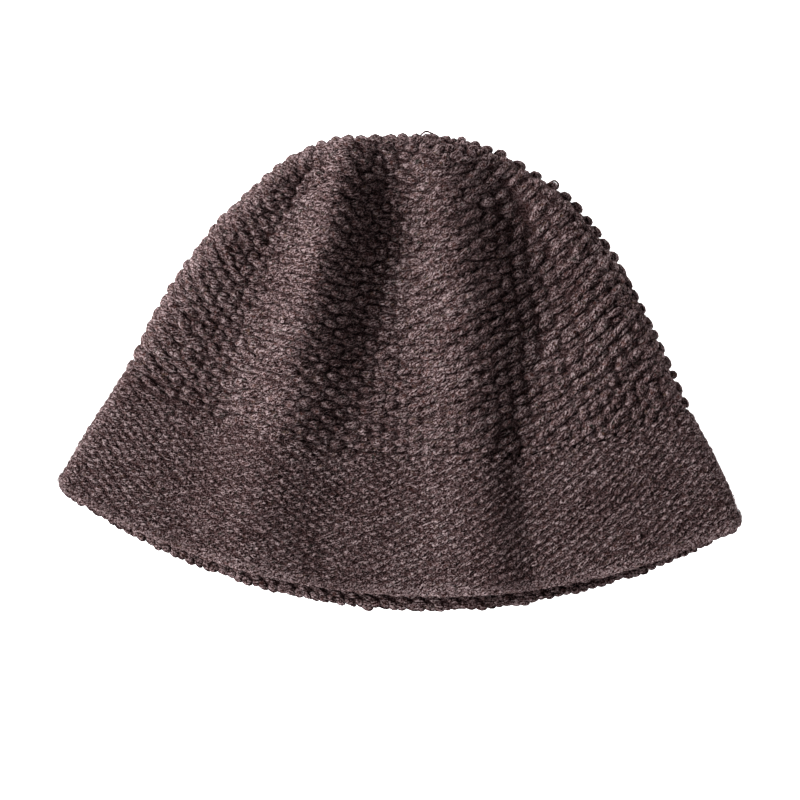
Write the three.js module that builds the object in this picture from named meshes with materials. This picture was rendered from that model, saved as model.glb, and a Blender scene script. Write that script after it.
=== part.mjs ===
// Knit bucket hat lying flat on its back, the mouth toward -Y and the crown top toward +Y.
// Lengths are millimetres and angles are degrees. The floor is the plane z = 0.
import * as THREE from "three";

// The side edges of the flattened hat run to one point above the crown, the fan point.
// A place on the hat is a distance from the fan point and an angle from straight down the page.
const FAN_X = 23.7;
const FAN_Y = 261.7;
const TOP_DISTANCE = 143.5;
const JOIN_DISTANCE = 306;
const HEM_DISTANCE = 368.5;
const JOIN_GAP = 0.3;

// The front hem and the back hem are arcs of their own, which meet at the two corners.
const FRONT_HEM_BOW = 2;
const BACK_HEM_BOW = 9.5;
const LEFT_CORNER_DROP = 5;

const WALL = 5;
const BRIM_PROUD = 1.1;
const HEM_ROUNDING = 2.8;
const TOP_ROUNDING = 13;

// The outline of the hat laid flat: a row for each distance, with the angle of either side edge.
const OUTLINE = [
  { distance: 143.5, left: -1.5, right: -1.5 },
  { distance: 145.5, left: -9.3, right: 2.8 },
  { distance: 148.5, left: -14.4, right: 5.8 },
  { distance: 155, left: -21.2, right: 10.6 },
  { distance: 164, left: -24.6, right: 13.9 },
  { distance: 175, left: -27.3, right: 17.3 },
  { distance: 190, left: -29.3, right: 20.1 },
  { distance: 220, left: -31.6, right: 22.3 },
  { distance: 265, left: -32.2, right: 23.3 },
  { distance: 306, left: -31.6, right: 23.4 },
  { distance: 340, left: -31.7, right: 23.8 },
  { distance: 373, left: -31.5, right: 23.6 },
];

// Half the thickness of the folded side edge, which is also its rounding seen from above.
const SIDE_EDGE = [
  { distance: 143.5, half: 11.5 },
  { distance: 190, half: 10 },
  { distance: 306, half: 8 },
  { distance: 373, half: 7 },
];

// The folds of the front wall from left to right. Each crest or valley has its angle near the top, in
// the middle of the crown, above the brim and at the hem, and the height of the wall over the floor.
const ANGLES_AT = [150, 215, 300, 372];
const HEIGHTS_AT = [150, 200, 306, 372];
const ANGLE_COLUMNS = ["topAngle", "crownAngle", "joinAngle", "hemAngle"];
const HEIGHT_COLUMNS = ["top", "crown", "join", "hem"];
const FOLDS = [
  { name: "left side", topAngle: -25, crownAngle: -32, joinAngle: -32, hemAngle: -31.5,
    top: 22, crown: 22, join: 17.5, hem: 15.5 },
  { name: "left swell", topAngle: -24, crownAngle: -28.8, joinAngle: -28.6, hemAngle: -28,
    top: 24, crown: 25, join: 18.5, hem: 16 },
  { name: "left valley", topAngle: -23, crownAngle: -24.4, joinAngle: -23, hemAngle: -22,
    top: 24, crown: 22.5, join: 17.5, hem: 15.5 },
  { name: "left ridge", topAngle: -18.2, crownAngle: -16.9, joinAngle: -16, hemAngle: -15.5,
    top: 33, crown: 49, join: 34, hem: 23 },
  { name: "deep valley", topAngle: -10, crownAngle: -7.6, joinAngle: -8.4, hemAngle: -9.5,
    top: 28, crown: 23, join: 22.5, hem: 20 },
  { name: "valley foot", topAngle: -9.4, crownAngle: -7, joinAngle: -4.6, hemAngle: -2.6,
    top: 28.2, crown: 23.2, join: 23, hem: 20.2 },
  { name: "middle ridge", topAngle: -0.8, crownAngle: 1.5, joinAngle: 2.8, hemAngle: 4,
    top: 34, crown: 42, join: 32, hem: 24.5 },
  { name: "right valley", topAngle: 9.5, crownAngle: 12.6, joinAngle: 7.6, hemAngle: 7.2,
    top: 24, crown: 21, join: 20.5, hem: 19.5 },
  { name: "right plain", topAngle: 14, crownAngle: 18, joinAngle: 15, hemAngle: 15,
    top: 25, crown: 26, join: 22, hem: 19 },
  { name: "right side", topAngle: 18, crownAngle: 22.3, joinAngle: 23.4, hemAngle: 23.6,
    top: 20, crown: 23, join: 19, hem: 16 },
];

// The mesh has rows from the top to the hem and columns round the hat, more in front than behind.
const CROWN_ROWS = 26;
const CROWN_ROW_CROWDING = 1.7;
const INNER_ROW_STEP = 2;
const BRIM_ROWS = 8;
const HEM_STEPS = 5;
const EDGE_COLUMNS = 4;
const FRONT_COLUMNS = EDGE_COLUMNS + 36 + EDGE_COLUMNS;
const BACK_COLUMNS = EDGE_COLUMNS + 20 + EDGE_COLUMNS;
const COLUMNS = FRONT_COLUMNS + BACK_COLUMNS;
const SLOPE_STEP = 0.01;

const CROWN_COLOUR = "#4c3d3c";
const BRIM_COLOUR = "#4f403f";
const WOOL_ROUGHNESS = 0.95;

const radians = THREE.MathUtils.degToRad;
const clamp = THREE.MathUtils.clamp;
const lerp = THREE.MathUtils.lerp;

// A smooth curve through the values given at some places, level before the first and after the last.
function curveThrough(places, values, place) {
  const last = places.length - 1;
  const x = clamp(place, places[0], places[last]);
  const found = places.findIndex((limit, index) => index > 0 && x <= limit);
  const slopeAt = (index) => {
    const before = Math.max(index - 1, 0);
    const after = Math.min(index + 1, last);
    return (values[after] - values[before]) / (places[after] - places[before]);
  };
  const span = places[found] - places[found - 1];
  const rise = values[found] - values[found - 1];
  const start = slopeAt(found - 1) * span;
  const finish = slopeAt(found) * span;
  const t = (x - places[found - 1]) / span;
  const bend = 3 * rise - 2 * start - finish;
  const twist = start + finish - 2 * rise;
  return values[found - 1] + t * (start + t * (bend + t * twist));
}

function fromRows(rows, column, distance) {
  return curveThrough(rows.map((row) => row.distance), rows.map((row) => row[column]), distance);
}

function columnsOf(row, columns) {
  return columns.map((column) => row[column]);
}

// The height of the front wall: smooth slopes between the lines of the crests and valleys.
function frontHeight(distance, angle) {
  const lines = FOLDS.map((fold) => ({
    angle: curveThrough(ANGLES_AT, columnsOf(fold, ANGLE_COLUMNS), distance),
    height: curveThrough(HEIGHTS_AT, columnsOf(fold, HEIGHT_COLUMNS), distance),
  }));
  const right = clamp(lines.findIndex((line) => line.angle > angle), -1, lines.length - 1);
  if (right === 0) return lines[0].height;
  if (right < 0) return lines[lines.length - 1].height;
  const left = lines[right - 1];
  const share = THREE.MathUtils.smoothstep(angle, left.angle, lines[right].angle);
  return lerp(left.height, lines[right].height, share);
}

// A quarter circle: 0 at an edge, 1 from one rounding inside it.
function roundedRise(depth, rounding) {
  const outside = 1 - clamp(depth / rounding, 0, 1);
  return Math.sqrt(1 - outside * outside);
}

// Where a column lies on a course: columns run over the front from left to right and back under
// it, and crowd at the two side edges, where the wall turns over.
function alongCourse(column, width, rounding) {
  const turn = THREE.MathUtils.euclideanModulo(column, COLUMNS);
  const front = turn <= FRONT_COLUMNS;
  const count = front ? FRONT_COLUMNS : BACK_COLUMNS;
  const fromLeft = front ? turn : COLUMNS - turn;
  const fromEdge = Math.min(fromLeft, count - fromLeft);
  const turned = rounding * (1 - Math.cos(Math.min(fromEdge / EDGE_COLUMNS, 1) * Math.PI * 0.5));
  const plain = Math.max(fromEdge - EDGE_COLUMNS, 0) / (count - 2 * EDGE_COLUMNS);
  const depth = turned + plain * (width - 2 * rounding);
  return { front, depth, along: fromLeft < count / 2 ? depth : width - depth };
}

// The outer skin of the knit at a distance from the fan point, on a column round the hat.
function skinPoint(distance, column) {
  const left = fromRows(OUTLINE, "left", distance);
  const right = fromRows(OUTLINE, "right", distance);
  const half = fromRows(SIDE_EDGE, "half", distance);
  const width = Math.max(radians(right - left) * distance, 1e-6);
  const rounding = Math.min(half, width / 2);
  const { front, depth, along } = alongCourse(column, width, rounding);
  const angle = lerp(left, right, along / width);
  const rise = roundedRise(depth, rounding) * roundedRise(distance - TOP_DISTANCE, TOP_ROUNDING);
  const across = (2 * along) / width - 1;
  const bow = (1 - across * across) * (front ? FRONT_HEM_BOW : BACK_HEM_BOW);
  const drop = LEFT_CORNER_DROP * (1 - across) * 0.5;
  const hemward = Math.max((distance - JOIN_DISTANCE) / (HEM_DISTANCE - JOIN_DISTANCE), 0);
  const reach = distance + hemward * (bow + drop);
  return new THREE.Vector3(
    FAN_X + reach * Math.sin(radians(angle)),
    FAN_Y - reach * Math.cos(radians(angle)),
    front ? lerp(half, frontHeight(distance, angle), rise) : half * (1 - rise),
  );
}

// The way out of the knit, square to its skin. At the top it points to the fan point.
function outward(distance, column) {
  if (distance <= TOP_DISTANCE) {
    const angle = radians(OUTLINE[0].left);
    return new THREE.Vector3(-Math.sin(angle), Math.cos(angle), 0);
  }
  const round = skinPoint(distance, column + SLOPE_STEP).sub(skinPoint(distance, column - SLOPE_STEP));
  const down = skinPoint(distance + SLOPE_STEP, column).sub(skinPoint(distance - SLOPE_STEP, column));
  return down.cross(round).normalize();
}

function wallPoint(distance, column, depth) {
  return skinPoint(distance, column).addScaledVector(outward(distance, column), -depth);
}

// The brim is thicker than the crown in front and at the sides, and lies flat behind.
function brimProud(distance, column) {
  const half = fromRows(SIDE_EDGE, "half", distance);
  return BRIM_PROUD * clamp(skinPoint(distance, column).z / half, 0, 1);
}

// A wall turned round the hat: each station of its profile gives the place of every column. The
// profile runs from the inside out, so that the faces point away from the wool.
function laidWall(stations) {
  const profile = stations.map(
    ({ distance }) => new THREE.Vector2(distance - TOP_DISTANCE, distance),
  );
  const geometry = new THREE.LatheGeometry(profile, COLUMNS);
  const position = geometry.getAttribute("position");
  for (let i = 0; i < position.count; i += 1) {
    const station = stations[i % stations.length];
    const column = Math.floor(i / stations.length);
    const proud = station.proud ? brimProud(station.distance, column) : 0;
    const depth = lerp(-proud, WALL, station.depth);
    const point = wallPoint(station.distance, column, depth);
    position.setXYZ(i, point.x, point.y, point.z);
  }
  geometry.computeVertexNormals();
  return geometry;
}

function crownStations() {
  const end = JOIN_DISTANCE - JOIN_GAP / 2;
  const rowAt = (row, depth) => ({
    distance: lerp(TOP_DISTANCE, end, (row / CROWN_ROWS) ** CROWN_ROW_CROWDING),
    depth,
    proud: false,
  });
  const outer = [];
  for (let row = 0; row <= CROWN_ROWS; row += 1) outer.push(rowAt(row, 0));
  const inner = [];
  for (let row = CROWN_ROWS; row >= 0; row -= INNER_ROW_STEP) inner.push(rowAt(row, 1));
  return [...outer, ...inner].reverse();
}

function brimStations() {
  const start = JOIN_DISTANCE + JOIN_GAP / 2;
  const end = HEM_DISTANCE - HEM_ROUNDING;
  const rowAt = (row, depth) => ({ distance: lerp(start, end, row / BRIM_ROWS), depth, proud: true });
  const stations = [];
  for (let row = 0; row < BRIM_ROWS; row += 1) stations.push(rowAt(row, 0));
  for (let step = 0; step <= HEM_STEPS; step += 1) {
    const turn = (Math.PI * step) / HEM_STEPS;
    stations.push({
      distance: end + HEM_ROUNDING * Math.sin(turn),
      depth: 0.5 - 0.5 * Math.cos(turn),
      proud: true,
    });
  }
  for (let row = BRIM_ROWS - 1; row >= 0; row -= 1) stations.push(rowAt(row, 1));
  stations.push(rowAt(0, 0));
  return stations.reverse();
}

function knitPiece(name, stations, colour) {
  const wool = new THREE.MeshStandardMaterial({ color: colour, roughness: WOOL_ROUGHNESS, metalness: 0 });
  const piece = new THREE.Mesh(laidWall(stations), wool);
  piece.name = name;
  return piece;
}

const hat = new THREE.Group();
hat.add(knitPiece("crown", crownStations(), CROWN_COLOUR));
hat.add(knitPiece("brim", brimStations(), BRIM_COLOUR));

export default hat;
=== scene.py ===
"""Knit bucket hat lying flat on its back, in metres, dressed with its stitches, hem and loose yarn."""

import math
from collections import namedtuple
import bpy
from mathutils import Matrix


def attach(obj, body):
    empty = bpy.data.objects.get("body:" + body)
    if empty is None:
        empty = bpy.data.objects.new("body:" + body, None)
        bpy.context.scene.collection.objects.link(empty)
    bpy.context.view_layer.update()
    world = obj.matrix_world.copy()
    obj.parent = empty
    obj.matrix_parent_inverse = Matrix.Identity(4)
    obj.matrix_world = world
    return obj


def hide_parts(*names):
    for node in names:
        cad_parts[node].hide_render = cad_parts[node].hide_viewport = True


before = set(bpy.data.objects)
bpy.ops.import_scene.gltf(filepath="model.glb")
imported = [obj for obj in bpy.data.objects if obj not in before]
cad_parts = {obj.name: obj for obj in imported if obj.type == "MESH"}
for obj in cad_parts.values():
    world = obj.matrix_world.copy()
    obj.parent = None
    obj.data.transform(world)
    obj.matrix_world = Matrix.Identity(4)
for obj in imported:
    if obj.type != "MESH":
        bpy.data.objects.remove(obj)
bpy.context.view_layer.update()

import bmesh
import bpy
import numpy as np
from mathutils import Matrix, Vector

MM = 0.001
RANDOM = np.random.default_rng(20)

# Lengths are in millimetres and angles in degrees until a mesh is made, which is in metres.
# The side edges of the flattened hat run to one point above the crown, the fan point.
# A place on the hat is a distance from the fan point and an angle from straight down the page.
FAN_X = 23.7
FAN_Y = 261.7
TOP_DISTANCE = 143.5
JOIN_DISTANCE = 306.0
HEM_DISTANCE = 368.5
WALL = 5.0

# The hem bows down in its middle and hangs lower on the left. Its corners are rounded by
# CORNER_SHARE of a quarter circle, which grows toward the hem with the power CORNER_GROWTH.
FRONT_HEM_BOW = 2.0
BACK_HEM_BOW = 9.5
LEFT_CORNER_DROP = 5.0
CORNER_RADIUS = 6.0
CORNER_SHARE = 0.75
CORNER_GROWTH = 4

# The brim starts BRIM_OVERLAP above the join and rises over BRIM_START to stand BRIM_PROUD.
BRIM_PROUD = 1.1
BRIM_START = 3.0
BRIM_OVERLAP = 0.5

# The rounding of the top and the share of a course that each rounded side edge takes.
TOP_ROUNDING = 13.0
EDGE_SHARE = 0.09

# How far to either side the slope of the skin is measured: round the hat in turns, up it in mm.
TURN_STEP = 0.002
UP_STEP = 0.05

# The outline of the hat laid flat: distance, angle of the left edge, angle of the right edge,
# and half the thickness of the folded side edge.
OUTLINE_AT = (143.5, 145.5, 148.5, 155, 164, 175, 190, 220, 265, 306, 340, 373)
LEFT_EDGE = (-1.5, -9.3, -14.4, -21.2, -24.6, -27.3, -29.3, -31.6, -32.2, -31.6, -31.7, -31.5)
RIGHT_EDGE = (-1.5, 2.8, 5.8, 10.6, 13.9, 17.3, 20.1, 22.3, 23.3, 23.4, 23.8, 23.6)
EDGE_AT = (143.5, 190, 306, 373)
EDGE_HALF = (11.5, 10, 8, 7)

# The folds of the front wall from left to right: the angle of each crest or valley, and the height
# of the wall there, each at four distances.
ANGLES_AT = (150, 215, 300, 372)
HEIGHTS_AT = (150, 200, 306, 372)
FOLDS = (
    ("left side", (-25, -32, -32, -31.5), (22, 22, 17.5, 15.5)),
    ("left swell", (-24, -28.8, -28.6, -28), (24, 25, 18.5, 16)),
    ("left valley", (-23, -24.4, -23, -22), (24, 22.5, 17.5, 15.5)),
    ("left ridge", (-18.2, -16.9, -16, -15.5), (33, 49, 34, 23)),
    ("deep valley", (-10, -7.6, -8.4, -9.5), (28, 23, 22.5, 20)),
    ("valley foot", (-9.4, -7, -4.6, -2.6), (28.2, 23.2, 23, 20.2)),
    ("middle ridge", (-0.8, 1.5, 2.8, 4), (34, 42, 32, 24.5)),
    ("right valley", (9.5, 12.6, 7.6, 7.2), (24, 21, 20.5, 19.5)),
    ("right plain", (14, 18, 15, 15), (25, 26, 22, 19)),
    ("right side", (18, 22.3, 23.4, 23.6), (20, 23, 19, 16)),
)

# How one kind of knit is laid in courses: the lean of its stitches out of the course by the angle
# on the front, their length in widths of their column, their greatest length, and their width.
Knit = namedtuple("Knit", "leans overlap longest wide")
LEAN_AT = (-32, -27.5, -22.5, -17.5, -12.5, -7.5, -2.5, 2.5, 7.5, 12.5, 17.5, 24)
CROWN_KNIT = Knit((-15, -9, 3, 8, -3, 2, 14, 16, 14, 24, 26, 15), 1.66, 12.0, 4.8)
BRIM_KNIT = Knit((-2, 1, 3, 2, 2, 5, 8, 12, 14, 12, 9, 4), 1.6, 7.5, 3.1)
BACK_LEAN = 14

# The courses climb from the left side of the hat to the right. Those of the crown reach from
# CROWN_CLEARANCE above the brim to FIRST_COURSE. Above it lies a gathered top, TOP_RUN of knit long.
CLIMB_AT = (160, 300, 306, 368.5)
CLIMB = (11, 9, 7.5, 0)
COURSE_POINTS = 241
TOP_RUN = 26.0
FIRST_COURSE = 158.5
CROWN_CLEARANCE = 1.6
CROWN_ROW_STEP = 3.62
COLUMN_AT = (160, 205, 245, 306)
COLUMN_WIDTH = (5.2, 5.5, 6.2, 6.4)
CROWN_ENDS_SEED = {True: 4, False: 5}
FILLING_SIZE = 0.84
BRIM_FIRST = JOIN_DISTANCE + 0.6
BRIM_LAST = HEM_DISTANCE - 1.6
BRIM_ROW_STEP = 2.0
BRIM_COLUMNS = 88
INSIDE_ROWS = 18

# The knit is stretched over steep folds, where rises count for STRETCHED_RISE of their length, but
# not near the side edges. Stitches are shorter, wider and higher there, and the cloth fuller.
# AT_EDGE and the two reaches are in turns.
STRETCHED_RISE = 0.35
AT_EDGE = 0.004
EDGE_BARE = 0.07
EDGE_UNSTRETCHED = 0.16
EDGE_SHORTER = 0.3
EDGE_WIDER = 0.45
EDGE_BUMP = 0.22
EDGE_FILL = 1.1

# Stitches along the folded edge over the top: for each edge its turn and where its row ends, and
# where the first one lies up from the last course, how far apart they are and how they lie.
SIDE_ROWS = ((0.0, 0.0), (1.0, 3.3))
SIDE_FIRST = 3.5
SIDE_STEP = 6.9
SIDE_LEAN = 30.0
SIDE_LONG = 7.8
SIDE_WIDE = 5.8
SIDE_TOP = 0.4
SIDE_POINTS = 300

# Stitches of the gathered top: where they are tried, how they lean, how near they may lie, first
# along a stitch and then beside it, and their size.
GATHER_TRIES = 6500
GATHER_RUNS = (3.0, TOP_RUN + 8)
GATHER_SHARES = (0.09, 0.91)
GATHER_CLEARANCE = 1.4
GATHER_LEAN_GAIN = 1.5
GATHER_LEAN_SPREAD = 14
GATHER_APART = (5.3, 4.0)
GATHER_LONG = (6.6, 8.2)
GATHER_WIDE = 5.2

# How one kind of pod sits on the skin: its thickness, the depth of its middle under the skin, how
# far its ends dip, how far its far end tucks under the next one, and how uneven the pods are.
Seat = namedtuple("Seat", "thick sink sag tuck uneven")
UNEVEN_LEAN = 60
UNEVEN_PLACE = 3.4
# Pods stay this far off the floor, and the fibres of each start anywhere along so much yarn. Their
# tips, where the way round them has no angle, lie past POD_TIP of their half length.
FLOOR_GAP = 0.05
YARN_LENGTH = 400
POD_TIP = 0.999

# Fibres rubbed out of the yarn: their thickness, lean and spread of lean, and the turns they cover.
FIBRE = 0.10
FIBRE_LEAN = 12
FIBRE_LEAN_SPREAD = 45
FIBRE_TURNS = (-0.03, 1.03)

# The cloth under the stitches: a sheet of some thickness with one painted shade, that of the
# shade under the stitches, and the least it lies under the skin.
WALL_SHEET = 2.2
WALL_PAINTED_SHADE_CREST = 0.22
WALL_COLUMNS = 168
WALL_LEAST_DEPTH = 0.2
# Points of a sheet or strand nearer than this are one point.
MERGE = 0.02

# The hem: a smooth rubbed roll of two rows along the front edge, and lumps along the back edge.
HEM_ROLL_DEPTHS = (1.3, 3.0)
HEM_ROLL_STEP = 3.0
HEM_LUMP_DEPTH = 1.3
HEM_LUMP_STEP = 4.4

# Loops of yarn that stand loose of the top edge: the middle line of each, their radius and the crest that
# sets their painted shade.
LOOSE_YARN = 0.5
LOOSE_PAINTED_SHADE_CREST = 0.6
STRAND_SIDES = 6
STRAND_STEPS = 28
STRAND_TWIST = 0.4
LOOSE_LOOPS = (
    ((9.6, 116.0, 9.0), (10.4, 118.8, 10.5), (13.0, 120.9, 11.0), (15.6, 120.3, 10.5),
     (18.2, 118.6, 10.0), (19.6, 116.4, 9.0)),
    ((10.6, 115.6, 11.0), (11.6, 118.2, 12.0), (13.6, 119.4, 12.2), (15.4, 118.4, 12.0),
     (16.4, 115.8, 11.0)),
    ((14.2, 116.2, 9.5), (16.0, 119.4, 10.2), (18.6, 118.9, 10.0), (20.8, 116.6, 9.0)),
    ((73.8, 92.8, 10.0), (75.2, 95.3, 11.0), (77.6, 96.3, 11.0), (79.4, 94.6, 10.5), (79.0, 92.2, 9.5)),
    ((74.6, 92.4, 10.4), (75.9, 94.4, 11.4), (77.4, 95.1, 11.6), (78.5, 93.8, 11.0), (78.1, 91.8, 10.0)),
)

# The colour of the yarn from its darkest fibres to its lightest.
YARN_GROUND = (
    (0.0, (0.008, 0.0032, 0.0032)),
    (0.3, (0.045, 0.0225, 0.0222)),
    (0.5, (0.145, 0.086, 0.087)),
    (0.7, (0.31, 0.212, 0.215)),
    (1.0, (0.62, 0.48, 0.49)),
)
# Flecks of dyed wool: how far their noise is moved, their colour, and the noise between which they
# fade in.
RED_FLECK = (3.1, (0.16, 0.062, 0.050), 0.56, 0.70)
TAN_FLECK = (7.7, (0.24, 0.155, 0.10), 0.62, 0.74)
GREEN_FLECK = (12.9, (0.060, 0.075, 0.062), 0.58, 0.70)
# How strongly the fibres, specks and clouds of the yarn and the tone of each stitch show.
FIBRE_STRENGTH = 3.4
SPECK_STRENGTH = 3.0
CLOUD_STRENGTH = 0.35
TONE_STRENGTH = 0.034
YARN_TWIST = -14
FIBRE_STRETCH = (0.45, 1.9, 1)
LEAST_ROUGHNESS = 0.78
FIBRE_ROUGHNESS = 0.2
SHEEN_TINT = (0.92, 0.74, 0.72)
# Points of a pod under this crest are painted with the shade of their neighbours, a little warm.
CREST_IN_LIGHT = 0.7
PAINTED_SHADE_WARMTH = 1.15


def curve_through(places, values, place):
    """A smooth curve through the values given at some places, level beyond the first and last."""
    places = np.asarray(places, float)
    values = np.asarray(values, float)
    x = np.clip(np.asarray(place, float), places[0], places[-1])
    found = np.clip(np.searchsorted(places, x, side="left"), 1, len(places) - 1)
    before = np.maximum(np.arange(len(places)) - 1, 0)
    after = np.minimum(np.arange(len(places)) + 1, len(places) - 1)
    slopes = (values[after] - values[before]) / (places[after] - places[before])
    span = places[found] - places[found - 1]
    rise = values[found] - values[found - 1]
    start = slopes[found - 1] * span
    finish = slopes[found] * span
    t = (x - places[found - 1]) / span
    bend = 3 * rise - 2 * start - finish
    twist = start + finish - 2 * rise
    return values[found - 1] + t * (start + t * (bend + t * twist))


def front_height(distance, angle):
    """The height of the front wall: smooth slopes between the lines of the crests and valleys."""
    angles = np.stack([curve_through(ANGLES_AT, fold[1], distance) for fold in FOLDS])
    heights = np.stack([curve_through(HEIGHTS_AT, fold[2], distance) for fold in FOLDS])
    height = heights[0].copy()
    for left in range(len(FOLDS) - 1):
        span = np.maximum(angles[left + 1] - angles[left], 1e-6)
        share = np.clip((angle - angles[left]) / span, 0, 1)
        share = share * share * (3 - 2 * share)
        height = height + (heights[left + 1] - heights[left]) * share
    return height


def rounded_rise(depth, rounding):
    """A quarter circle: 0 on the edge, 1 where the depth in from the edge reaches the rounding."""
    outside = 1 - np.clip(depth / rounding, 0, 1)
    return np.sqrt(np.maximum(1 - outside * outside, 0))


def course_ends(distance):
    """The angles of the left and right edge at a distance, half the thickness of the edges, the
    width between them and how far in they are rounded."""
    left = curve_through(OUTLINE_AT, LEFT_EDGE, distance)
    right = curve_through(OUTLINE_AT, RIGHT_EDGE, distance)
    half = curve_through(EDGE_AT, EDGE_HALF, distance)
    width = np.maximum(np.radians(right - left) * distance, 1e-6)
    return left, right, half, width, np.minimum(half, width / 2)


def skin_point(distance, turn):
    """The outer skin. turn runs 0 to 1 over the front from left to right and 1 to 2 back under it.
    The first and last EDGE_SHARE of either are the rounded side edges."""
    distance = np.asarray(distance, float)
    turn = np.mod(np.asarray(turn, float), 2.0)
    front = turn <= 1.0
    from_left = np.where(front, turn, 2.0 - turn)
    from_edge = np.minimum(from_left, 1 - from_left)
    left, right, half, width, rounding = course_ends(distance)
    bend = np.minimum(from_edge / EDGE_SHARE, 1) * math.pi / 2
    plain = np.maximum(from_edge - EDGE_SHARE, 0) / (1 - 2 * EDGE_SHARE)
    depth = rounding * (1 - np.cos(bend)) + plain * (width - 2 * rounding)
    along = np.where(from_left < 0.5, depth, width - depth)
    angle = left + (right - left) * along / width
    rise = rounded_rise(depth, rounding) * rounded_rise(distance - TOP_DISTANCE, TOP_ROUNDING)
    across = 2 * along / width - 1
    bow = (1 - across * across) * np.where(front, FRONT_HEM_BOW, BACK_HEM_BOW)
    drop = LEFT_CORNER_DROP * (1 - across) * 0.5
    hemward = np.maximum((distance - JOIN_DISTANCE) / (HEM_DISTANCE - JOIN_DISTANCE), 0)
    inward = np.minimum(np.minimum(along, width - along) / CORNER_RADIUS, 1)
    corner = CORNER_RADIUS * (1 - np.sqrt(np.maximum(1 - (1 - inward) ** 2, 0)))
    reach = distance + hemward * (bow + drop) - CORNER_SHARE * hemward ** CORNER_GROWTH * corner
    height = np.where(front, half + (front_height(distance, angle) - half) * rise, half * (1 - rise))
    x = FAN_X + reach * np.sin(np.radians(angle))
    y = FAN_Y - reach * np.cos(np.radians(angle))
    return np.stack([x, y, height], axis=-1)


def skin_frame(distance, turn):
    """Places on the skin with the way out of the knit, the way round the course and the way up."""
    point = skin_point(distance, turn)
    round_step = skin_point(distance, turn + TURN_STEP) - skin_point(distance, turn - TURN_STEP)
    nearer = np.maximum(np.asarray(distance, float) - UP_STEP, TOP_DISTANCE)
    up_step = skin_point(nearer, turn) - skin_point(np.asarray(distance, float) + UP_STEP, turn)
    course = round_step / np.maximum(np.linalg.norm(round_step, axis=-1, keepdims=True), 1e-9)
    out = np.cross(course, up_step)
    out = out / np.maximum(np.linalg.norm(out, axis=-1, keepdims=True), 1e-9)
    up = np.cross(out, course)
    return point, out, course, up


def brim_proud(distance, turn):
    """How far the brim stands out of the skin: less on the way round the side edges to the back."""
    point = skin_point(distance, turn)
    half = curve_through(EDGE_AT, EDGE_HALF, distance)
    start = rounded_rise(np.asarray(distance, float) - JOIN_DISTANCE + BRIM_OVERLAP, BRIM_START)
    return BRIM_PROUD * start * np.clip(point[..., 2] / half, 0, 1)


def crown_distance(run):
    """The distance from the fan point at some lengths of knit down from the top of the crown."""
    run = np.asarray(run, float)
    bend = np.cos(np.minimum(run / TOP_RUN, 1) * math.pi / 2)
    return TOP_DISTANCE + TOP_ROUNDING * (1 - bend) + np.maximum(run - TOP_RUN, 0)


def climbed(distance, turn):
    """The distance of a course at some turns, for its distance at the middle of the hat."""
    from_left = np.where(np.asarray(turn) <= 1, turn, 2.0 - np.asarray(turn))
    return distance + curve_through(CLIMB_AT, CLIMB, distance) * (0.5 - from_left)


def edge_nearness(turn, reach=EDGE_BARE):
    """1 on the side edges of the hat, falling to 0 a little way from them."""
    return np.clip(1 - np.abs(turn - np.round(turn)) / reach, 0, 1)


def on_side_edge(turn):
    """Whether a stitch lies on the very edge."""
    return np.abs(turn - np.round(turn)) < AT_EDGE


def off_side_edges(laid):
    """The stitches laid without those on the side edges."""
    return laid[~on_side_edge(laid[:, 1])]


def course_line(distance, front):
    """Turns along one course of the front or back, with the length of knit run at each."""
    turns = np.linspace(0.0, 1.0, COURSE_POINTS) + (0.0 if front else 1.0)
    turns[-1] -= 1e-9
    steps = np.diff(skin_point(climbed(distance, turns), turns), axis=0)
    near_edge = edge_nearness(turns[1:], EDGE_UNSTRETCHED)
    steps[:, 2] *= STRETCHED_RISE + (1 - STRETCHED_RISE) * near_edge
    run = np.concatenate([[0], np.cumsum(np.linalg.norm(steps, axis=1))])
    return turns, run


def stitch_lean(distance, turn, leans):
    """The lean at places on the front. The back leans one way throughout."""
    point = skin_point(distance, turn)
    angle = np.degrees(np.arctan2(point[..., 0] - FAN_X, FAN_Y - point[..., 1]))
    return np.where(np.asarray(turn) <= 1, curve_through(LEAN_AT, leans, angle), BACK_LEAN)


def course_of(distance, front, share, first, knit):
    """Every second column of one course. share gives the columns as shares of the course's length.
    A row of the result is distance, turn, lean, length and width of a stitch."""
    turns, run = course_line(distance, front)
    columns = np.interp(share * run[-1], run, turns)
    place = skin_point(climbed(distance, columns), columns)
    steps = np.linalg.norm(np.gradient(place, axis=0), axis=1)
    picks = np.arange(first, len(share), 2)
    if not front:
        picks = picks[(picks > 0) & (picks < len(share) - 1)]
    turn, step = columns[picks], steps[picks]
    reach = climbed(distance, turn)
    lean = stitch_lean(reach, turn, knit.leans)
    near_edge = edge_nearness(turn)
    long = np.minimum(step * knit.overlap, knit.longest - EDGE_SHORTER * near_edge * knit.longest)
    return np.stack([reach, turn, lean, long, knit.wide * (1 + EDGE_WIDER * near_edge)], axis=-1)


def crown_courses(front, other=0):
    """Half-drop courses from the brim up. Two neighbouring columns end wherever they get crowded.
    other is 1 for the places that the half-drop leaves free."""
    ends = np.random.default_rng(CROWN_ENDS_SEED[front])
    rows = np.arange(JOIN_DISTANCE - CROWN_CLEARANCE, FIRST_COURSE, -CROWN_ROW_STEP)
    courses = []
    share = None
    for number, distance in enumerate(rows):
        length = course_line(distance, front)[1][-1]
        wanted = length / float(curve_through(COLUMN_AT, COLUMN_WIDTH, distance))
        if share is None:
            share = np.linspace(0, 1, 2 * round(wanted / 2) + 1)
        while len(share) - 1 > wanted + 1:
            crowded = ends.integers(3, len(share) - 4)
            share = np.delete(share, (crowded, crowded + 1))
        for _ in range(3):
            share[1:-1] = 0.5 * share[1:-1] + 0.25 * (share[:-2] + share[2:])
        courses.append(course_of(distance, front, share, (number + other) % 2, CROWN_KNIT))
    return np.concatenate(courses)


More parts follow.
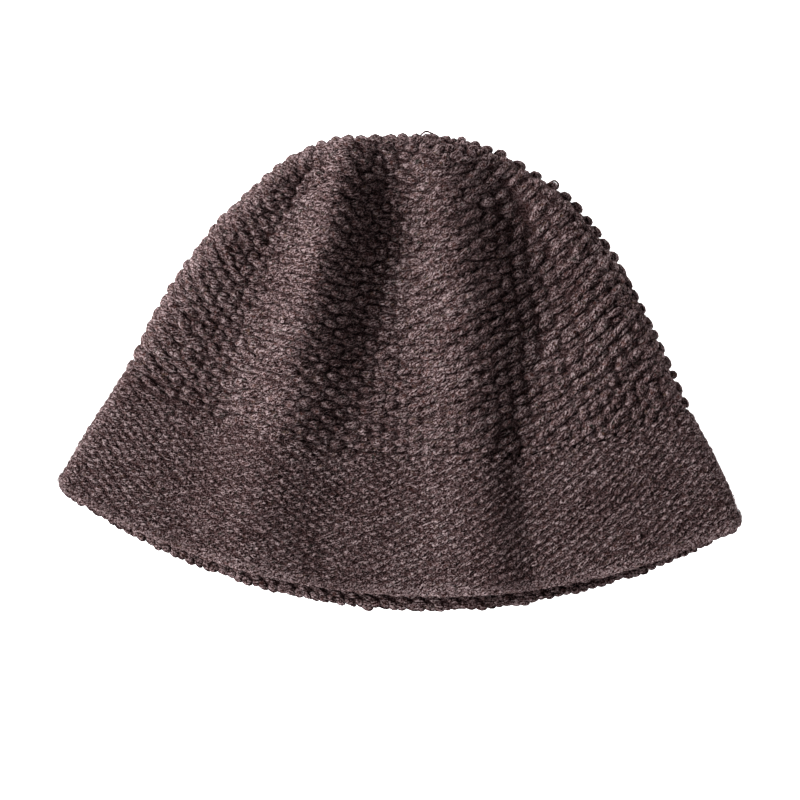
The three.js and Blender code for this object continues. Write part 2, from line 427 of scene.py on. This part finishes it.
def brim_courses(front, first=BRIM_FIRST, last=BRIM_LAST):
    """Half-drop courses of the brim from first down to last, with the same columns in each."""
    share = np.linspace(0, 1, BRIM_COLUMNS + 1)
    courses = [
        course_of(distance, front, share, number % 2, BRIM_KNIT)
        for number, distance in enumerate(np.arange(first, last, BRIM_ROW_STEP))
    ]
    return np.concatenate(courses)


def side_edge_stitches():
    """Stitches along the folded edge over the top of the crown, the same way apart all along."""
    laid = []
    for turn, row_end in SIDE_ROWS:
        last_run = TOP_RUN + float(climbed(FIRST_COURSE, turn)) - FIRST_COURSE
        fine = np.linspace(SIDE_TOP, last_run, SIDE_POINTS)
        line = skin_point(crown_distance(fine), np.full(fine.shape, turn))
        length = np.concatenate([[0], np.cumsum(np.linalg.norm(np.diff(line, axis=0), axis=1))])
        for reach in np.arange(length[-1] - SIDE_FIRST, row_end, -SIDE_STEP):
            run = np.interp(reach, length, fine)
            laid.append((float(crown_distance(run)), turn, SIDE_LEAN, SIDE_LONG, SIDE_WIDE))
    return np.array(laid)


def gathered_stitches(front, edges):
    """Stitches crowded anyhow over the gathered top, none nearer another than its own size."""
    run = RANDOM.uniform(*GATHER_RUNS, GATHER_TRIES)
    share = RANDOM.uniform(*GATHER_SHARES, GATHER_TRIES)
    turn = 0.5 - 0.5 * np.cos(math.pi * share) + (0.0 if front else 1.0)
    distance = crown_distance(run)
    above = distance < climbed(FIRST_COURSE, turn) - GATHER_CLEARANCE
    distance, turn = distance[above], turn[above]
    tries = len(turn)
    lean = stitch_lean(distance, turn, CROWN_KNIT.leans) * GATHER_LEAN_GAIN
    lean = lean + RANDOM.normal(0, GATHER_LEAN_SPREAD, tries)
    place, _, course, up = skin_frame(distance, turn)
    kept, near = [], list(skin_frame(edges[:, 0], edges[:, 1])[0])
    for pick in range(tries):
        bend = math.radians(lean[pick])
        way = math.cos(bend) * course[pick] + math.sin(bend) * up[pick]
        apart = np.array(near) - place[pick]
        along = apart @ way
        beside = np.linalg.norm(apart - along[:, None] * way, axis=1)
        if np.min((along / GATHER_APART[0]) ** 2 + (beside / GATHER_APART[1]) ** 2) > 1:
            near.append(place[pick])
            long = RANDOM.uniform(*GATHER_LONG)
            kept.append((distance[pick], turn[pick], lean[pick], long, GATHER_WIDE))
    return np.array(kept)


def hem_edge(front, depth, step, lean, long, wide):
    """One row along the hem of the front or back, some depth in from the edge."""
    turns, run = course_line(HEM_DISTANCE, front)
    places = np.arange(0.5 * step, run[-1], step)
    turn = np.interp(places, run, turns)
    ones = np.ones(len(turn))
    return np.stack([ones * (HEM_DISTANCE - depth), turn, ones * lean, ones * long, ones * wide], axis=-1)


def loose_fibres(count, nearest, farthest, shortest, longest):
    """Fibres rubbed out of the yarn, anyhow over the front and a little way round its edges."""
    distance = np.sqrt(RANDOM.uniform(nearest ** 2, farthest ** 2, count))
    turn = RANDOM.uniform(*FIBRE_TURNS, count)
    lean = RANDOM.normal(FIBRE_LEAN, FIBRE_LEAN_SPREAD, count) + RANDOM.choice((0, 180), count)
    long = RANDOM.uniform(shortest, longest, count)
    return np.stack([distance, turn, lean, long, np.full(count, FIBRE)], axis=-1)


def pod(around, along):
    """A pod of yarn with its length along X: its points, and the points of each of its faces. The
    faces are sorted, because Blender makes those of a sphere in no fixed order."""
    bm = bmesh.new()
    bmesh.ops.create_uvsphere(bm, u_segments=around, v_segments=along, radius=1.0)
    bmesh.ops.rotate(bm, verts=bm.verts, matrix=Matrix.Rotation(math.pi / 2, 3, "Y"))
    bmesh.ops.recalc_face_normals(bm, faces=bm.faces)
    points = np.array([v.co for v in bm.verts])
    faces = sorted([v.index for v in face.verts] for face in bm.faces)
    bm.free()
    return points, faces


def corner_places(points, faces):
    """How far each face corner lies along its pod, and how far round it from its top."""
    places = []
    for face in faces:
        corners = points[face]
        middle = corners.mean(axis=0)
        centre = math.atan2(middle[1], middle[2])
        for corner in corners:
            bend = math.atan2(corner[1], corner[2]) if abs(corner[0]) < POD_TIP else centre
            bend = centre + (bend - centre + math.pi) % (2 * math.pi) - math.pi
            places.append((corner[0], bend / (2 * math.pi)))
    return np.array(places)


def joined_mesh(name, verts, faces, corners, tones, crests):
    """One mesh of many copies of a small shape. verts is copies x points x 3 in millimetres, tones
    has one value for each copy and crests, which set the painted shade, one for each point."""
    copies, size = verts.shape[:2]
    copy = np.arange(copies)[:, None]
    sizes = np.array([len(face) for face in faces])
    loops = np.concatenate(faces)[None, :] + copy * size
    starts = np.concatenate([[0], np.cumsum(sizes)[:-1]])[None, :] + copy * len(corners[0])
    mesh = bpy.data.meshes.new(name)
    mesh.vertices.add(copies * size)
    mesh.vertices.foreach_set("co", (verts * MM).astype(np.float32).ravel())
    mesh.loops.add(loops.size)
    mesh.loops.foreach_set("vertex_index", loops.astype(np.int32).ravel())
    mesh.polygons.add(starts.size)
    mesh.polygons.foreach_set("loop_start", starts.astype(np.int32).ravel())
    mesh.update(calc_edges=True)
    mesh.shade_smooth()
    mesh.uv_layers.new(name="yarn").data.foreach_set("uv", corners.astype(np.float32).ravel())
    point_values(mesh, "tone", np.repeat(tones, size))
    point_values(mesh, "crest", crests)
    return mesh


def point_values(mesh, name, values):
    """Keeps one value for each point of a mesh, for its material to read."""
    attribute = mesh.attributes.new(name, "FLOAT", "POINT")
    attribute.data.foreach_set("value", values.astype(np.float32).ravel())


def dress(name, mesh, material, replaced=None):
    """A finished piece of the hat: it rides with it and may stand for a solid."""
    piece = bpy.data.objects.new(name, mesh)
    bpy.context.scene.collection.objects.link(piece)
    mesh.materials.append(material)
    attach(piece, "root")
    if replaced:
        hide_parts(replaced)
    return piece


def lay_stitches(name, shape, laid, seat, material, proud=False, inside=0.0, stand=0.0, painted_light=1.0):
    """Lays one pod for each row of laid. proud is for pods on the raised brim, inside the wall to go
    through for the inner face, stand how far pods may rise off the skin, in degrees, and the last
    how much painted light lifts the pods out of the painted shade of their neighbours."""
    points, faces = shape
    distance, turn, lean, long, wide = laid.T
    count = len(distance)
    place, out, course, up = skin_frame(distance, turn)
    lift = brim_proud(distance, turn) if proud else np.zeros(count)
    if inside:
        place = place - out * inside
        out, lift = -out, lift * 0
    lean = np.radians(lean + RANDOM.normal(0, UNEVEN_LEAN * seat.uneven, count))
    size = 1 + RANDOM.normal(0, seat.uneven, (count, 3))
    lift = lift + np.where(on_side_edge(turn), EDGE_BUMP * seat.thick, 0)
    half = np.stack([long, wide, np.full(count, seat.thick)], axis=-1) * size / 2
    way = np.cos(lean)[:, None] * course + np.sin(lean)[:, None] * up
    rise = np.radians(np.abs(RANDOM.normal(0, stand, count)))[:, None]
    lift = lift + np.sin(rise[:, 0]) * half[:, 0]
    beside = np.cross(out, way)
    way, out = np.cos(rise) * way + np.sin(rise) * out, np.cos(rise) * out - np.sin(rise) * way
    shift = RANDOM.normal(0, UNEVEN_PLACE * seat.uneven, (count, 3))
    centre = place + out * (lift - seat.sink)[:, None] + way * shift[:, :1] + beside * shift[:, 1:2]
    local = points[None] * half[:, None, :]
    local[..., 2] -= seat.sag * points[None, :, 0] ** 2 + seat.tuck * points[None, :, 0]
    verts = centre[:, None] + local[..., :1] * way[:, None] + local[..., 1:2] * beside[:, None]
    verts = verts + local[..., 2:] * out[:, None]
    verts[..., 2] = np.maximum(verts[..., 2], FLOOR_GAP)
    pod_size = np.stack([half[:, 0], math.pi * half[:, 1]], axis=-1)
    corners = corner_places(points, faces)[None] * pod_size[:, None]
    corners = corners + RANDOM.uniform(0, YARN_LENGTH, (count, 1, 2))
    # Points low on a pod are painted with the shade of their neighbours. Near the side edges that painted
    # shade gives way to painted light, for the light of the white surroundings on the edges.
    crests = np.clip(points[None, :, 2] * painted_light + edge_nearness(turn)[:, None], 0, 1)
    mesh = joined_mesh(name, verts, faces, corners, RANDOM.normal(0, 1, count), crests)
    dress(name, mesh, material)


def knit_wall(name, courses, place_of, first, last, deep, material, replaced, proud=False):
    """The cloth under the stitches: a sheet wrapped right round the hat from first to last, which
    place_of turns into distances, and deep under the skin."""
    bm = bmesh.new()
    bmesh.ops.create_grid(bm, x_segments=WALL_COLUMNS, y_segments=courses, size=1.0)
    grid = np.array([v.co for v in bm.verts])
    distance = place_of(first + (grid[:, 1] + 1) / 2 * (last - first))
    turn = grid[:, 0] + 1
    place, out = skin_frame(distance, turn)[:2]
    depth = np.maximum(deep - EDGE_FILL * edge_nearness(turn), WALL_LEAST_DEPTH)
    if proud:
        depth = depth - brim_proud(distance, turn)
    place = place - out * depth[:, None]
    for vert, co in zip(bm.verts, place):
        vert.co = co * MM
    bmesh.ops.remove_doubles(bm, verts=bm.verts, dist=MERGE * MM)
    bmesh.ops.recalc_face_normals(bm, faces=bm.faces)
    mesh = bpy.data.meshes.new(name)
    bm.to_mesh(mesh)
    bm.free()
    mesh.shade_smooth()
    # The whole sheet has one low crest, which paints it with the shade that falls under the stitches.
    point_values(mesh, "crest", np.full(len(mesh.vertices), WALL_PAINTED_SHADE_CREST))
    piece = dress(name, mesh, material, replaced)
    solid = piece.modifiers.new("knit thickness", "SOLIDIFY")
    solid.thickness = WALL_SHEET * MM
    solid.offset = -1


def strand(name, lines, radius, material):
    """A round strand of yarn along each line, through its points: a grid wrapped round the line."""
    bm = bmesh.new()
    yarn_map = bm.loops.layers.uv.new("yarn")
    for line in lines:
        spots = np.array(line)
        knots = range(len(spots))
        places = np.linspace(0, len(spots) - 1, STRAND_STEPS)
        path = np.stack([curve_through(knots, spots[:, axis], places) for axis in range(3)], axis=-1)
        along = np.gradient(path, axis=0)
        along = along / np.linalg.norm(along, axis=1, keepdims=True)
        side = np.cross(along, (0.0, 0.0, 1.0))
        side = side / np.linalg.norm(side, axis=1, keepdims=True)
        over = np.cross(side, along)
        grid = bmesh.ops.create_grid(bm, x_segments=STRAND_STEPS - 1, y_segments=STRAND_SIDES, size=1.0)
        for vert in grid["verts"]:
            step = round((vert.co.x + 1) / 2 * (STRAND_STEPS - 1))
            turn = (vert.co.y + 1) / 2
            for loop in vert.link_loops:
                loop[yarn_map].uv = (step * STRAND_TWIST, turn * STRAND_SIDES * radius)
            way = math.cos(2 * math.pi * turn) * side[step] + math.sin(2 * math.pi * turn) * over[step]
            vert.co = (path[step] + radius * way) * MM
    bmesh.ops.remove_doubles(bm, verts=bm.verts, dist=MERGE * MM)
    bmesh.ops.holes_fill(bm, edges=bm.edges, sides=STRAND_SIDES)
    bmesh.ops.recalc_face_normals(bm, faces=bm.faces)
    mesh = bpy.data.meshes.new(name)
    bm.to_mesh(mesh)
    bm.free()
    mesh.shade_smooth()
    # One crest for the whole strand, which paints it with a little shade.
    point_values(mesh, "crest", np.full(len(mesh.vertices), LOOSE_PAINTED_SHADE_CREST))
    dress(name, mesh, material)


def ramp_node(nodes, stops):
    """A colour ramp with the colours of some stops."""
    ramp = nodes.new("ShaderNodeValToRGB")
    while len(ramp.color_ramp.elements) < len(stops):
        ramp.color_ramp.elements.new(0.5)
    for element, (place, colour) in zip(ramp.color_ramp.elements, stops):
        element.position = place
        element.color = (*colour, 1)
    return ramp


def noise_node(nodes, links, place, scale, detail, roughness):
    """Noise at a place, and the socket of its value."""
    noise = nodes.new("ShaderNodeTexNoise")
    noise.inputs["Scale"].default_value = scale
    noise.inputs["Detail"].default_value = detail
    noise.inputs["Roughness"].default_value = roughness
    links.new(place, noise.inputs["Vector"])
    return noise.outputs[0]


def math_node(nodes, links, operation, first, second):
    """One operation on two values, each of them a number or a socket."""
    node = nodes.new("ShaderNodeMath")
    node.operation = operation
    for socket, value in zip(node.inputs, (first, second)):
        if isinstance(value, (int, float)):
            socket.default_value = value
        else:
            links.new(value, socket)
    return node.outputs[0]


def mix_colours(nodes, links, blend, factor, first, second):
    """A mix of two colours, each of them a colour or a socket. The factor is a number or a socket."""
    mix = nodes.new("ShaderNodeMix")
    mix.data_type = "RGBA"
    mix.blend_type = blend
    for socket, value in ((mix.inputs[0], factor), (mix.inputs[6], first), (mix.inputs[7], second)):
        if isinstance(value, (int, float)):
            socket.default_value = value
        elif isinstance(value, tuple):
            socket.default_value = (*value, 1)
        else:
            links.new(value, socket)
    return mix.outputs[2]


def heathered_yarn():
    """The shader node group of the yarn: fibres along each stitch, flecks of dyed wool and fuzz,
    and a painted shade in the crevices between stitches, set by each point's crest.
    """
    group = bpy.data.node_groups.new("heathered yarn", "ShaderNodeTree")
    face = group.interface
    given_values = {"Tone": 0.0, "Crest": 1.0, "Painted crevice shade": 0.4, "Fibre contrast": 1.0, "Flecks": 1.0,
                    "Brightness": 1.0}
    for name, value in given_values.items():
        socket = face.new_socket(name, in_out="INPUT", socket_type="NodeSocketFloat")
        socket.default_value = value
    face.new_socket("Color", in_out="OUTPUT", socket_type="NodeSocketColor")
    face.new_socket("Roughness", in_out="OUTPUT", socket_type="NodeSocketFloat")
    face.new_socket("Height", in_out="OUTPUT", socket_type="NodeSocketFloat")
    nodes, links = group.nodes, group.links
    given = nodes.new("NodeGroupInput").outputs
    result = nodes.new("NodeGroupOutput").inputs

    def calc(operation, first, second):
        return math_node(nodes, links, operation, first, second)

    def about_zero(noise, strength):
        return calc("MULTIPLY", calc("SUBTRACT", noise, 0.5), strength)

    # Fibres run along each stitch at a twist. Specks, clouds and patches lie anyhow over the hat.
    yarn_map = nodes.new("ShaderNodeUVMap")
    yarn_map.uv_map = "yarn"
    twist = nodes.new("ShaderNodeMapping")
    twist.inputs["Rotation"].default_value = (0, 0, math.radians(YARN_TWIST))
    links.new(yarn_map.outputs[0], twist.inputs["Vector"])
    stretch = nodes.new("ShaderNodeMapping")
    stretch.inputs["Scale"].default_value = FIBRE_STRETCH
    links.new(twist.outputs[0], stretch.inputs["Vector"])
    place = nodes.new("ShaderNodeTexCoord").outputs["Object"]
    fibres = noise_node(nodes, links, stretch.outputs[0], scale=1.0, detail=2, roughness=0.55)
    specks = noise_node(nodes, links, place, scale=1250, detail=2, roughness=0.6)
    clouds = noise_node(nodes, links, place, scale=190, detail=3, roughness=0.6)
    patches = noise_node(nodes, links, place, scale=34, detail=2, roughness=0.5)

    grain = calc("ADD", about_zero(fibres, FIBRE_STRENGTH), about_zero(specks, SPECK_STRENGTH))
    grain = calc("MULTIPLY", grain, given["Fibre contrast"])
    level = calc("ADD", grain, about_zero(clouds, CLOUD_STRENGTH))
    level = calc("ADD", level, calc("MULTIPLY", given["Tone"], TONE_STRENGTH))
    ground = ramp_node(nodes, YARN_GROUND)
    links.new(calc("ADD", level, 0.5), ground.inputs[0])

    colour = ground.outputs[0]
    for move, tint, low, high in (RED_FLECK, TAN_FLECK, GREEN_FLECK):
        moved = nodes.new("ShaderNodeMapping")
        moved.inputs["Location"].default_value = (move, move * 0.7, move * 0.3)
        links.new(place, moved.inputs["Vector"])
        dyed = noise_node(nodes, links, moved.outputs[0], scale=420, detail=2, roughness=0.55)
        mask = nodes.new("ShaderNodeMapRange")
        mask.inputs["From Min"].default_value = low
        mask.inputs["From Max"].default_value = high
        links.new(dyed, mask.inputs["Value"])
        amount = calc("MULTIPLY", mask.outputs[0], given["Flecks"])
        tinted = mix_colours(nodes, links, "MIX", 0.5, colour, tint)
        colour = mix_colours(nodes, links, "MIX", amount, colour, tinted)

    # The painted shade of the crevices between stitches, a little warmer where it is darker.
    painted_crevice_shade = nodes.new("ShaderNodeMapRange")
    painted_crevice_shade.interpolation_type = "SMOOTHSTEP"
    painted_crevice_shade.inputs["From Max"].default_value = CREST_IN_LIGHT
    links.new(given["Crest"], painted_crevice_shade.inputs["Value"])
    links.new(given["Painted crevice shade"], painted_crevice_shade.inputs["To Min"])
    shade = calc("MULTIPLY", calc("ADD", patches, 0.5), given["Brightness"])
    shade = calc("MULTIPLY", shade, painted_crevice_shade.outputs[0])
    tinge = nodes.new("ShaderNodeCombineColor")
    links.new(shade, tinge.inputs[0])
    for socket in tinge.inputs[1:3]:
        links.new(calc("POWER", shade, PAINTED_SHADE_WARMTH), socket)
    links.new(mix_colours(nodes, links, "MULTIPLY", 1.0, colour, tinge.outputs[0]), result["Color"])
    rough = calc("ADD", calc("MULTIPLY", fibres, FIBRE_ROUGHNESS), LEAST_ROUGHNESS)
    links.new(rough, result["Roughness"])
    links.new(calc("ADD", grain, 0.5), result["Height"])
    return group


def wool(name, group, painted_crevice_shade, contrast, flecks, brightness, bump, sheen):
    """A finish of the yarn. The sheen is the light that its loose fibres catch."""
    material = bpy.data.materials.new(name)
    material.use_nodes = True
    nodes, links = material.node_tree.nodes, material.node_tree.links
    shader = nodes["Principled BSDF"]
    shader.inputs["Specular IOR Level"].default_value = 0.02
    shader.inputs["Sheen Weight"].default_value = sheen
    shader.inputs["Sheen Roughness"].default_value = 0.4
    shader.inputs["Sheen Tint"].default_value = (*SHEEN_TINT, 1)
    yarn = nodes.new("ShaderNodeGroup")
    yarn.node_tree = group
    yarn.inputs["Painted crevice shade"].default_value = painted_crevice_shade
    yarn.inputs["Fibre contrast"].default_value = contrast
    yarn.inputs["Flecks"].default_value = flecks
    yarn.inputs["Brightness"].default_value = brightness
    for attribute, socket in (("tone", "Tone"), ("crest", "Crest")):
        read = nodes.new("ShaderNodeAttribute")
        read.attribute_name = attribute
        links.new(read.outputs["Fac"], yarn.inputs[socket])
    relief = nodes.new("ShaderNodeBump")
    relief.inputs["Strength"].default_value = bump
    relief.inputs["Distance"].default_value = 0.6 * MM
    links.new(yarn.outputs["Height"], relief.inputs["Height"])
    links.new(yarn.outputs["Color"], shader.inputs["Base Color"])
    links.new(yarn.outputs["Roughness"], shader.inputs["Roughness"])
    links.new(relief.outputs[0], shader.inputs["Normal"])
    return material


def white_paper():
    """Paper that gives off enough light to stay pure white under the hat."""
    material = bpy.data.materials.new("white paper")
    material.use_nodes = True
    shader = material.node_tree.nodes["Principled BSDF"]
    shader.inputs["Base Color"].default_value = (0.9, 0.9, 0.9, 1)
    shader.inputs["Roughness"].default_value = 0.9
    shader.inputs["Emission Color"].default_value = (1, 1, 1, 1)
    shader.inputs["Emission Strength"].default_value = 2.0
    return material


def soft_light(name, place, size, power):
    """A square soft light that faces the hat. Its place and size are in metres."""
    data = bpy.data.lights.new(name, "AREA")
    data.shape = "SQUARE"
    data.size = size
    data.energy = power
    lamp = bpy.data.objects.new(name, data)
    lamp.location = place
    lamp.rotation_euler = (-Vector(place)).to_track_quat("-Z", "Y").to_euler()
    bpy.context.scene.collection.objects.link(lamp)


yarn_group = heathered_yarn()
crown_wool = wool("crown wool", yarn_group, painted_crevice_shade=0.21, contrast=0.8, flecks=1.0, brightness=0.98,
                  bump=1.0, sheen=0.05)
brim_wool = wool("brim wool", yarn_group, painted_crevice_shade=0.36, contrast=0.9, flecks=0.6, brightness=0.96,
                 bump=1.0, sheen=0.05)
# The hem wool is a little lighter and has less painted crevice shade, which paints on the light that the
# fuzz of the hem roll catches.
hem_wool = wool("hem wool", yarn_group, painted_crevice_shade=0.75, contrast=0.8, flecks=0.5, brightness=1.06,
                bump=0.8, sheen=0.08)
fuzz_wool = wool("loose fibres", yarn_group, painted_crevice_shade=0.9, contrast=1.0, flecks=0.5, brightness=1.2,
                 bump=0.0, sheen=0.05)

crown_run = TOP_RUN + JOIN_DISTANCE - TOP_DISTANCE - TOP_ROUNDING
knit_wall("crown_cloth", courses=62, place_of=crown_distance, first=0.6, last=crown_run, deep=2.3,
          material=crown_wool, replaced="crown")
knit_wall("brim_cloth", courses=30, place_of=np.asarray, first=JOIN_DISTANCE - BRIM_OVERLAP,
          last=HEM_DISTANCE - 0.4, deep=0.6, material=brim_wool, replaced="brim",
          proud=True)

chunky_pod = pod(around=8, along=6)
fine_pod = pod(around=7, along=5)
edges = side_edge_stitches()
crown_front = np.concatenate([edges, gathered_stitches(True, edges), crown_courses(True)])
crown_back = np.concatenate([gathered_stitches(False, edges), crown_courses(False)])
filling = off_side_edges(crown_courses(True, other=1))
filling[:, 3:] *= FILLING_SIZE
brim_front = off_side_edges(brim_courses(True))
brim_back = brim_courses(False)
inner_first = BRIM_LAST - INSIDE_ROWS * BRIM_ROW_STEP
inner = np.concatenate([brim_courses(front, inner_first) for front in (True, False)])
front_hem = np.concatenate([
    hem_edge(True, depth, HEM_ROLL_STEP, lean=4, long=8.0, wide=3.2) for depth in HEM_ROLL_DEPTHS
])
back_hem = hem_edge(False, HEM_LUMP_DEPTH, HEM_LUMP_STEP, lean=22, long=6.6, wide=4.4)

lay_stitches("crown_front_stitches", chunky_pod, crown_front,
             Seat(thick=4.3, sink=1.4, sag=1.2, tuck=1.1, uneven=0.13), crown_wool)
# The filling is painted darker than the stitches over it, for the shade in the gaps between them.
lay_stitches("crown_front_filling", fine_pod, filling,
             Seat(thick=3.4, sink=2.5, sag=0.7, tuck=0.6, uneven=0.12), crown_wool, painted_light=0.7)
lay_stitches("crown_back_stitches", chunky_pod, crown_back,
             Seat(thick=4.4, sink=2.1, sag=0.9, tuck=0.6, uneven=0.05), crown_wool)
lay_stitches("brim_front_stitches", fine_pod, brim_front,
             Seat(thick=1.8, sink=0.45, sag=0.35, tuck=0.3, uneven=0.11), brim_wool, proud=True)
lay_stitches("brim_back_stitches", fine_pod, brim_back,
             Seat(thick=2.6, sink=1.2, sag=0.5, tuck=0.4, uneven=0.05), brim_wool)
lay_stitches("brim_inner_stitches", fine_pod, inner,
             Seat(thick=2.6, sink=0.9, sag=0.5, tuck=0.4, uneven=0.06), brim_wool, inside=WALL)
lay_stitches("front_hem_roll", fine_pod, front_hem,
             Seat(thick=2.8, sink=1.1, sag=0.3, tuck=0.1, uneven=0.07), hem_wool, proud=True)
lay_stitches("front_hem_lining", fine_pod, front_hem,
             Seat(thick=2.8, sink=1.0, sag=0.3, tuck=0.1, uneven=0.07), hem_wool,
             inside=WALL - 1.0)
# The back lumps are painted lighter, to take out some of the shadow that the front hem casts on them.
lay_stitches("back_hem_lumps", fine_pod, back_hem,
             Seat(thick=2.8, sink=1.2, sag=0.4, tuck=0.2, uneven=0.13), brim_wool, painted_light=1.5)
lay_stitches("back_hem_lining", fine_pod, back_hem,
             Seat(thick=2.8, sink=0.6, sag=0.4, tuck=0.2, uneven=0.13), brim_wool,
             inside=WALL - 1.4)

fibre_pod = pod(around=3, along=4)
crown_fibre_seat = Seat(thick=FIBRE, sink=-0.35, sag=0.7, tuck=0.0, uneven=0.09)
brim_fibre_seat = crown_fibre_seat._replace(sag=0.4)
crown_fibres = loose_fibres(count=7500, nearest=TOP_DISTANCE + 3, farthest=JOIN_DISTANCE,
                            shortest=2.0, longest=6.0)
brim_fibres = loose_fibres(count=6000, nearest=JOIN_DISTANCE, farthest=HEM_DISTANCE - 0.5,
                           shortest=1.5, longest=4.5)
lay_stitches("crown_fibres", fibre_pod, crown_fibres, crown_fibre_seat, fuzz_wool, stand=7)
hem_fibres = loose_fibres(count=2200, nearest=HEM_DISTANCE - 4, farthest=HEM_DISTANCE,
                          shortest=1.5, longest=4.5)
lay_stitches("brim_fibres", fibre_pod, brim_fibres, brim_fibre_seat, fuzz_wool,
             proud=True, stand=7)
lay_stitches("hem_fibres", fibre_pod, hem_fibres, brim_fibre_seat, fuzz_wool,
             proud=True, stand=14)

strand("loose_yarn_loops", LOOSE_LOOPS, LOOSE_YARN, crown_wool)

# Floor, light and camera. The camera looks straight down, as the photo's does.
scene = bpy.context.scene
scene.view_settings.view_transform = "Standard"
bpy.ops.mesh.primitive_plane_add(size=6, location=(0, 0, 0))
floor = bpy.context.object
floor.name = "floor"
floor.data.materials.append(white_paper())

soft_light("key light", (-2.7, 0.5, 2.05), size=1.5, power=163)
soft_light("fill light", (0.5, -2.3, 2.2), size=2.5, power=20)
world = bpy.data.worlds.new("studio")
world.use_nodes = True
world.node_tree.nodes["Background"].inputs["Color"].default_value = (1, 0.92, 0.9, 1)
world.node_tree.nodes["Background"].inputs["Strength"].default_value = 0.06
scene.world = world

lens = bpy.data.cameras.new("camera")
lens.lens = 180
lens.sensor_width = 36
camera = bpy.data.objects.new("camera", lens)
camera.location = (0.00025, -0.01325, 2.01)
scene.collection.objects.link(camera)
scene.camera = camera
